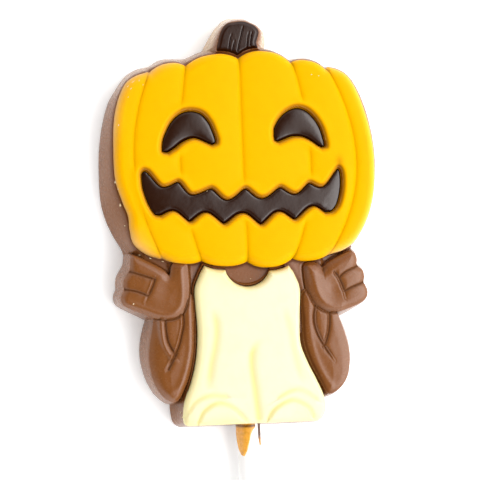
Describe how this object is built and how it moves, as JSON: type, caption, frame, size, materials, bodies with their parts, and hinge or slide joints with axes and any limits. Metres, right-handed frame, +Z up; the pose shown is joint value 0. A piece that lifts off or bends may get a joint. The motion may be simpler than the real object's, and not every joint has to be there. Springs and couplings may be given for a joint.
{
  "type": "chocolate lollipop",
  "caption": "Flat-backed moulded chocolate lollipop on a round white stick: a robed figure with raised hands and a grinning carved pumpkin for a head, lying relief side up.",
  "frame": {"origin": "on the table under the middle of the box round the chocolate and its stick", "axes": "+X across the figure, to the right as one looks down on its relief; +Y along the stick towards the pumpkin's stem; +Z up from the flat back to the relief"},
  "size_m": [0.0634, 0.1966, 0.0114],
  "materials": {
    "milk_chocolate": "milk chocolate, satin, with a faint pale bloom on its faces and darker in its creases",
    "yellow_chocolate": "yellow-dyed white chocolate, smooth and softly glossy, thinner and browner at its edge",
    "dark_chocolate": "dark chocolate, softly glossy, with a greyish sheen where it faces the light",
    "cream_chocolate": "white chocolate, pale cream, smooth, yellower in its folds",
    "white_stick": "plain white lollipop stick, smooth"
  },
  "bodies": {
    "root": {"milk_body": "milk_chocolate", "pumpkin": "yellow_chocolate", "eye_left": "dark_chocolate", "eye_right": "dark_chocolate", "mouth": "dark_chocolate", "stem": "dark_chocolate", "robe": "cream_chocolate", "stick": "white_stick"}
  },
  "joints": []
}
